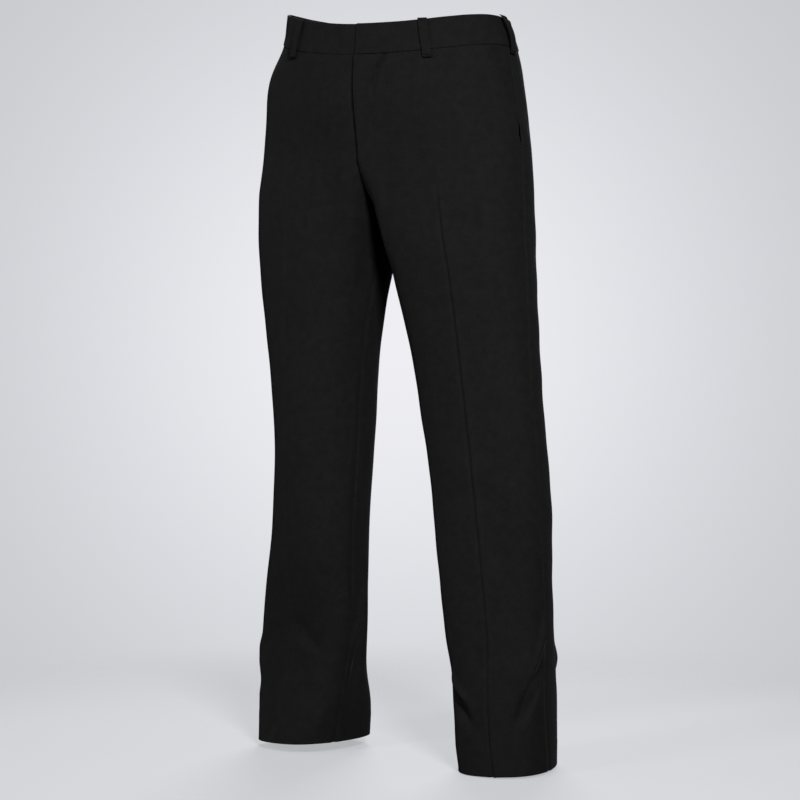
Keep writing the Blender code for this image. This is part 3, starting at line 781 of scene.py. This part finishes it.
def eased(corners, count):
    """Points spaced evenly along a smooth line through a few corners."""
    corners = np.array(corners)
    gaps = np.linalg.norm((corners[1:] - corners[:-1]) * (0.5, 1.0), axis=1)
    run = np.concatenate([[0], np.cumsum(gaps)])
    at = np.linspace(0, run[-1], count)
    return np.stack([through(run, corners[:, i], at) for i in (0, 1)], axis=-1)


row = eased(FLY_STITCH, 160)
sewn("fly_stitches", [on_cloth(1, row[:, 0], row[:, 1])])
sewn("fly_bar_tack", [on_cloth(1, np.linspace(0.004, 0.016, 8), np.full(8, FLY_BOTTOM + 0.001))], **TACK)


# ================================================================ Waistband
# Two halves of doubled suiting with interfacing, joined at the centre back. The left end laps
# over the right one at the centre front. The hook and bar behind the lap are hidden and left out.

WAISTBAND = 0.043
BAND_THICK = 0.0025
BAND_OUTSET = 0.0005
BAND_START = {1: 1.4, -1: -11.0}  # degrees round from the centre front
BAND_END = 180 - 0.08
BAND_LAYER = {1: 0.0012, -1: 0.0026}
BAND_FADE = {1: (12.0, 18.0), -1: (3.0, 18.0)}


def ring(angle, height, outset):
    """Points and normals round the waist, moved out by outset."""
    step = 0.001

    def at(turn, level):
        return np.stack([*hip_point(turn, level), level - WAIST + 0 * turn], axis=-1)

    across = at(angle + step, height) - at(angle - step, height)
    up = at(angle, height + step) - at(angle, height - step)
    normals = unit(np.cross(across, up))
    return at(angle, height) + normals * outset[..., None], normals


def edge_steps(length, radius, count):
    """Distances along a length, closer together at its two rounded ends."""
    near = radius * np.array([0.02, 0.12, 0.35, 0.70, 1.10])
    between = np.linspace(1.8 * radius, length - 1.8 * radius, count)
    return np.concatenate([near, between, length - near[::-1]])


def slab(name, outer, normals, thick, along, down, side=1):
    """A flat or curved strip with rounded edges; along and down are distances from its corner."""
    radius = thick / 2
    ends = np.minimum(along, along[0] + along[-1] - along)
    sides = np.minimum(down, down[0] + down[-1] - down)
    edge = np.minimum(ends[None, :], sides[:, None])
    inset = radius - np.sqrt(radius**2 - np.clip(radius - edge, 0, radius) ** 2)
    grain = np.stack([along[None, :] + 0 * down[:, None], 0 * along[None, :] - down[:, None]], axis=-1)
    front = outer - normals * inset[..., None]
    behind = outer - normals * (thick - inset)[..., None]
    return closed(name, front, behind, side, grain)


def band_half(name, side):
    fine = side * np.radians(np.linspace(BAND_START[side], BAND_END, 721))
    line = ring(fine, waist_seam(fine) + WAISTBAND / 2, 0 * fine)[0]
    run = np.concatenate([[0], np.cumsum(np.linalg.norm(np.diff(line, axis=0), axis=1))])
    along = edge_steps(run[-1], BAND_THICK / 2, 220)
    down = edge_steps(WAISTBAND, BAND_THICK / 2, 16)
    angle = np.interp(along, run, fine)[None, :] + 0 * down[:, None]
    height = waist_seam(angle) + WAISTBAND - down[:, None]
    start, over = BAND_FADE[side]
    fade = 1 - smooth((np.degrees(side * angle) - start) / over)
    wave = 0.00018 * np.sin(9 * angle + 1.3 * side) + 0.00012 * np.sin(23 * angle + 70 * height)
    roll = 0.0004 * np.exp(-(((WAISTBAND - down[:, None] - 0.005) / 0.005) ** 2))
    outset = BAND_OUTSET + side * BAND_LAYER[side] * fade + wave + roll
    points, normals = ring(angle, height, outset)
    return slab(name, points, normals, BAND_THICK, along, down, side), run[-1]


BAND_CLOTH = suiting("waistband_doubled_suiting")
for side, word in ((1, "left"), (-1, "right")):
    piece, length = band_half(f"waistband_{word}_cloth", side)
    piece.data.materials.append(BAND_CLOTH)
    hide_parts(f"waistband_{word}")
    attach(piece, "root")


# ================================================================ Slanted pockets
# Behind each mouth lies a facing of the same suiting, sewn in at the waist and side seams. The
# mouth is the folded edge of the front, topstitched 6 mm in and tacked at both ends.

FACING_UNDER = 0.040
FACING_BELOW = 0.015
FACING_DEEP = 0.0036
FACING_RISE = (0.003, 0.030)
MOUTH_DARK = 0.007  # share of the leg over which the facing stays deep beside the mouth


def metres_across(side, share, height):
    """How many metres one share covers here."""
    away = body_point(side, share + 0.002, height) - body_point(side, share - 0.002, height)
    return np.linalg.norm(away, axis=-1) / 0.004


def facing(name, side):
    top_back, top_deep = turned_edge(0.0007, 0.0)
    end_back, end_deep = turned_edge(0.0008, 0.0)
    top = waist_seam(side * HIP_ANGLES[2])
    bottom = POCKET_BOTTOM - FACING_BELOW
    rows = np.concatenate([top - top_back[::-1], np.linspace(top - top_back[0], bottom, 70)[1:]])[:, None]
    mouth = pocket_edge(side, rows)
    stop = SIDE_SEAM - (SEAM_GAP / 2 + end_back) / metres_across(side, SIDE_SEAM + 0 * rows, rows)
    across = np.linspace(0, 1, 26)
    share = mouth - FACING_UNDER + (stop[:, :1] - mouth + FACING_UNDER) * across
    open_share = np.maximum(SIDE_SEAM - mouth, 1e-6)
    low, high = FACING_RISE
    beyond = (share - mouth - MOUTH_DARK) / (0.8 * open_share)
    surfaced = smooth((open_share - low) / (high - low)) * smooth(beyond)
    under_band = smooth((rows - top + 0.010) / 0.009) * smooth((share - mouth - 0.001) / 0.004)
    deep = FACING_DEEP * (1 - surfaced) * (1 - under_band)
    share = np.concatenate([share, stop[:, 1:]], axis=1)
    deep = np.concatenate([deep, deep[:, -1:] + end_deep[1:]], axis=1)
    deep = deep + np.concatenate([top_deep[::-1], np.zeros(69)])[:, None]
    lift = (waist_seam(side * angle_at(share[:1], HIP_ANGLES)) - top) * (rows - bottom) / (top - bottom)
    outer = cloth_point(side, share, rows + lift, deep)
    steps = np.linalg.norm(np.diff(outer, axis=1), axis=-1)
    run = np.concatenate([np.zeros((len(outer), 1)), np.cumsum(steps, axis=1)], axis=1)
    return shell(name, outer, CLOTH_MM / 1000, side, np.stack([run, rows + lift], axis=-1))


# The facing's suiting is a copy a little darker than the fronts': painted shade for its place behind the
# pocket mouth.
FACING_CLOTH_SHADED = suiting("pocket_facing_suiting_painted_shade", "#141414")
for side, word in ((1, "left"), (-1, "right")):
    piece = facing(f"pocket_{word}_facing", side)
    piece.data.materials.append(FACING_CLOTH_SHADED)
    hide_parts(f"pocket_{word}")
    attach(piece, "root")
    height = np.linspace(POCKET_BOTTOM + 0.003, waist_seam(side * HIP_ANGLES[2]) - 0.006, 120)
    mouth = pocket_edge(side, height)
    inside = mouth - 0.006 / metres_across(side, mouth, height)
    sewn(f"pocket_{word}_stitches", [on_cloth(side, inside, height)])
    tacks = []
    for level in (POCKET_BOTTOM + 0.004, 0.972):
        at = pocket_edge(side, level)
        width = 0.008 / metres_across(side, np.array(at), np.array(level))
        share = np.linspace(at - width, at - 0.0012, 8)
        tacks.append(on_cloth(side, share, np.full(8, level)))
    sewn(f"pocket_{word}_tacks", tacks, **TACK)


# ================================================================ Belt loops
# Seven folded strips of suiting, stitched along both edges, turned under at both ends and bar
# tacked to the top of the waistband and just below the waist seam.

LOOP_WIDTH = 0.013
LOOP_THICK = 0.0016
LOOP_SEAT = 0.0005
LOOP_ABOVE = 0.001
LOOP_BELOW = 0.011
LOOP_LENGTH = WAISTBAND + LOOP_ABOVE + LOOP_BELOW
LOOP_STEP = (0.012, 0.002)
BELT_LOOPS = (  # name, degrees from the centre front, bow away from the waistband
    ("belt_loop_front_left", 34.0, 0.0026),
    ("belt_loop_front_right", -34.0, 0.0055),
    ("belt_loop_side_left", 92.0, 0.0078),
    ("belt_loop_side_right", -92.0, 0.0078),
    ("belt_loop_back_left", 143.0, 0.0045),
    ("belt_loop_back_right", -143.0, 0.0045),
    ("belt_loop_centre_back", 180.0, 0.0068),
)


def loop_place(angle, bow, down, off_centre, lift=0.0):
    """Points and normals of a loop's outer face, at distances down it and off its middle."""
    seam = waist_seam(angle)
    height = seam + WAISTBAND + LOOP_ABOVE - down
    low, high = LOOP_STEP
    seat = LOOP_SEAT + BAND_OUTSET * smooth((height - seam + low) / (low - high))
    swell = bow * np.sin(math.pi * np.clip(down / LOOP_LENGTH, 0, 1)) ** 0.7
    turned = 0.0004 * (smooth((down - LOOP_LENGTH + 0.008) / 0.002) + smooth((0.007 - down) / 0.002))
    centre, normals = ring(angle + 0 * height, height, seat + swell + turned + LOOP_THICK + lift)
    sideways = unit(np.cross([0, 0, 1], normals))
    off = off_centre[None, :, None]
    return centre[:, None] + sideways[:, None] * off, normals[:, None] + 0 * off


LOOP_CLOTH = suiting("belt_loop_folded_suiting")
for name, degrees, bow in BELT_LOOPS:
    angle = math.radians(degrees)
    down = edge_steps(LOOP_LENGTH, LOOP_THICK / 2, 40)
    along = edge_steps(LOOP_WIDTH, LOOP_THICK / 2, 9)
    points, normals = loop_place(angle, bow, down, along - LOOP_WIDTH / 2)
    piece = slab(f"{name}_strip", points, normals, LOOP_THICK, along, down)
    piece.data.materials.append(LOOP_CLOTH)
    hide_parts(name)
    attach(piece, "root")
    rows = []
    run = np.linspace(0.002, LOOP_LENGTH - 0.002, 40)
    for off_centre in (-0.0045, 0.0045):
        line, outward = loop_place(angle, bow, run, np.array([off_centre]), 0.00005)
        rows.append((line[:, 0], outward[:, 0]))
    sewn(f"{name}_stitches", rows, pitch=0.0024, along=0.0020)
    tacks = []
    tack_width = np.linspace(-0.0052, 0.0052, 9)
    for level in (0.0042, LOOP_LENGTH - 0.0035):
        line, outward = loop_place(angle, bow, np.array([level]), tack_width, 0.0001)
        tacks.append((line[0], outward[0]))
    sewn(f"{name}_tacks", tacks, **TACK)


# ================================================================ Zip
# A closed coil zip behind the lap of the fly: two woven tapes, the nylon coil between them and
# the slider at the top. It is hidden from outside, and seen only down through the waist.

ZIP_CENTRE = 0.009
ZIP_DEEP = 0.0064
ZIP_TOP = FRONT_WAIST - 0.008
ZIP_BOTTOM = FLY_BOTTOM + 0.020
TAPE_WIDTH = 0.0125
TAPE_THICK = 0.0007
SLIDER_LENGTH = 0.011
SLIDER_WIDTH = 0.008


def behind_fly(across, height, deep):
    """Points and normals behind the fly, at a distance to the wearer's left of the chain."""
    share = 0 * height
    normals = normals_at(1, share, height)[:, None]
    spot = body_point(1, share, height)[:, None] - normals * deep
    spot = spot + (ZIP_CENTRE + across)[None, :, None] * np.array([1.0, 0.0, 0.0])
    return spot, normals + 0 * spot


def plain(name, colour, rough, metal=0.0):
    material = bpy.data.materials.new(name)
    material.use_nodes = True
    shader = material.node_tree.nodes["Principled BSDF"]
    shader.inputs["Base Color"].default_value = linear(colour)
    shader.inputs["Roughness"].default_value = rough
    shader.inputs["Metallic"].default_value = metal
    return material


TAPE = plain("zip_tape_woven_polyester", "#1a1a1c", 0.75)
COIL = plain("zip_coil_nylon", "#1c1c1e", 0.35)
SLIDER = plain("zip_slider_lacquered_alloy", "#1b1b1d", 0.3, 0.6)
down = edge_steps(ZIP_TOP - ZIP_BOTTOM, TAPE_THICK / 2, 50)
for word, start in (("left", 0.0004), ("right", -0.0004 - TAPE_WIDTH)):
    along = edge_steps(TAPE_WIDTH, TAPE_THICK / 2, 6)
    points, normals = behind_fly(along + start, ZIP_TOP - down, ZIP_DEEP)
    piece = slab(f"zip_tape_{word}", points, normals, TAPE_THICK, along, down)
    piece.data.materials.append(TAPE)
    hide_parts("zip")
    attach(piece, "root")
run = np.linspace(ZIP_TOP - SLIDER_LENGTH, ZIP_BOTTOM + 0.004, 60)
points, normals = behind_fly(np.array([0.0]), run, ZIP_DEEP + TAPE_THICK + 0.0005)
chain = sewn(
    "zip_coil", [(points[:, 0], normals[:, 0])],
    pitch=0.0011, along=0.0008, across=0.0048, height=0.0011, thread=COIL,
)
down = edge_steps(SLIDER_LENGTH, 0.0012, 6)
along = edge_steps(SLIDER_WIDTH, 0.0012, 6)
points, normals = behind_fly(along - SLIDER_WIDTH / 2, ZIP_TOP - down, ZIP_DEEP + 0.0002)
piece = slab("zip_slider", points, normals, 0.0034, along, down)
piece.data.materials.append(SLIDER)
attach(piece, "root")


# ================================================================ Studio
# A pale floor that fades into a pale backdrop with a pool of light behind the garment. The main
# soft light stands at the wearer's left front and a weaker one at the front, two faint ones at
# the sides, and one behind.

FLOOR_DROP = HEM_DROP[1][0] - HEM[1] + 0.0005  # just under the lower hem
POOL_EDGE = "#c0c2c6"
POOL_MIDDLE = "#eeeef3"
POOL_SPREAD = math.radians(11.2)
ROOM_LIGHT = 0.05  # how brightly the room around lights the cloth and the floor
FLOOR_GLOW = 0.61
FLOOR_FADE = (0.6, 1.35)  # metres from the middle over which the floor fades into the backdrop

scene = bpy.context.scene
scene.view_settings.view_transform = "Standard"
scene.view_settings.look = "None"

world = bpy.data.worlds.new("backdrop")
world.use_nodes = True
scene.world = world
tree = world.node_tree
direction = add(tree, "ShaderNodeTexCoord")
towards = (-math.sin(CAMERA_TURN), math.cos(CAMERA_TURN), 0.035)
aimed = add(tree, "ShaderNodeVectorMath", {0: direction.outputs["Generated"]}, operation="DOT_PRODUCT")
aimed.inputs[1].default_value = unit(np.array(towards))
off = add(tree, "ShaderNodeMath", {1: aimed.outputs["Value"]}, operation="SUBTRACT", _0=1.0)
scaled = add(tree, "ShaderNodeMath", {0: off.outputs[0]}, operation="MULTIPLY", _1=-2 / POOL_SPREAD**2)
pool = add(tree, "ShaderNodeMath", {0: scaled.outputs[0]}, operation="EXPONENT")
tone = add(tree, "ShaderNodeMix", {0: pool.outputs[0]}, data_type="RGBA")
tone.inputs[6].default_value = linear(POOL_EDGE)
tone.inputs[7].default_value = linear(POOL_MIDDLE)
shown = tree.nodes["Background"]
tree.links.new(tone.outputs[2], shown.inputs["Color"])
lit = add(tree, "ShaderNodeBackground", Color=linear("#dcdde0"), Strength=ROOM_LIGHT)
seen = add(tree, "ShaderNodeLightPath")
chosen = add(
    tree, "ShaderNodeMixShader",
    {0: seen.outputs["Is Camera Ray"], 1: lit.outputs[0], 2: shown.outputs[0]},
)
tree.links.new(chosen.outputs[0], tree.nodes["World Output"].inputs["Surface"])

floor_mesh = bpy.data.meshes.new("floor")
reach = 6.0
level = -WAIST - FLOOR_DROP
floor_mesh.from_pydata(
    [(-reach, -reach, level), (reach, -reach, level), (reach, reach, level), (-reach, reach, level)],
    [], [(0, 1, 2, 3)],
)
floor = bpy.data.objects.new("floor", floor_mesh)
scene.collection.objects.link(floor)
floor.visible_diffuse = False  # the glowing floor neither lights the hems nor shines in them
floor.visible_glossy = False
paint = bpy.data.materials.new("floor_paper")
paint.use_nodes = True
tree = paint.node_tree
shader = tree.nodes["Principled BSDF"]
shader.inputs["Base Color"].default_value = linear("#8c8d90")
shader.inputs["Roughness"].default_value = 0.9
shader.inputs["Specular IOR Level"].default_value = 0.1
shader.inputs["Emission Color"].default_value = linear("#dcdde0")
shader.inputs["Emission Strength"].default_value = FLOOR_GLOW
place = add(tree, "ShaderNodeTexCoord")
level_place = add(tree, "ShaderNodeVectorMath", {0: place.outputs["Object"]}, operation="MULTIPLY")
level_place.inputs[1].default_value = (1, 1, 0)
away = add(tree, "ShaderNodeVectorMath", {0: level_place.outputs[0]}, operation="LENGTH")
fade = add(tree, "ShaderNodeMapRange", {0: away.outputs["Value"]}, interpolation_type="SMOOTHSTEP")
fade.inputs[1].default_value, fade.inputs[2].default_value = FLOOR_FADE
clear = add(tree, "ShaderNodeBsdfTransparent")
mixed = add(
    tree, "ShaderNodeMixShader",
    {0: fade.outputs[0], 1: shader.outputs[0], 2: clear.outputs[0]},
)
tree.links.new(mixed.outputs[0], tree.nodes["Material Output"].inputs["Surface"])
floor_mesh.materials.append(paint)


def soft_light(name, turn, rise, away, size, power):
    """A square light panel that faces the middle of the garment from a given direction."""
    middle = np.array([0.0, 0.0, -0.52])
    outward = np.array(
        [math.sin(turn) * math.cos(rise), -math.cos(turn) * math.cos(rise), math.sin(rise)]
    )
    lamp = bpy.data.objects.new(name, bpy.data.lights.new(name, "AREA"))
    lamp.data.size = size
    lamp.data.spread = math.radians(60)
    lamp.data.energy = power
    lamp.location = middle + outward * away
    lamp.rotation_euler = (math.pi / 2 - rise, 0.0, turn)
    lamp.visible_camera = False
    scene.collection.objects.link(lamp)


soft_light("key", math.radians(44), math.radians(26), 3.6, 0.7, 12.6)
soft_light("front", math.radians(-20), math.radians(18), 3.6, 0.7, 3.9)
soft_light("right_side", math.radians(-70), math.radians(28), 3.2, 1.4, 1.1)
soft_light("left_side", math.radians(120), math.radians(34), 3.2, 1.6, 0.8)
soft_light("rear", math.radians(205), math.radians(32), 3.2, 1.6, 11)
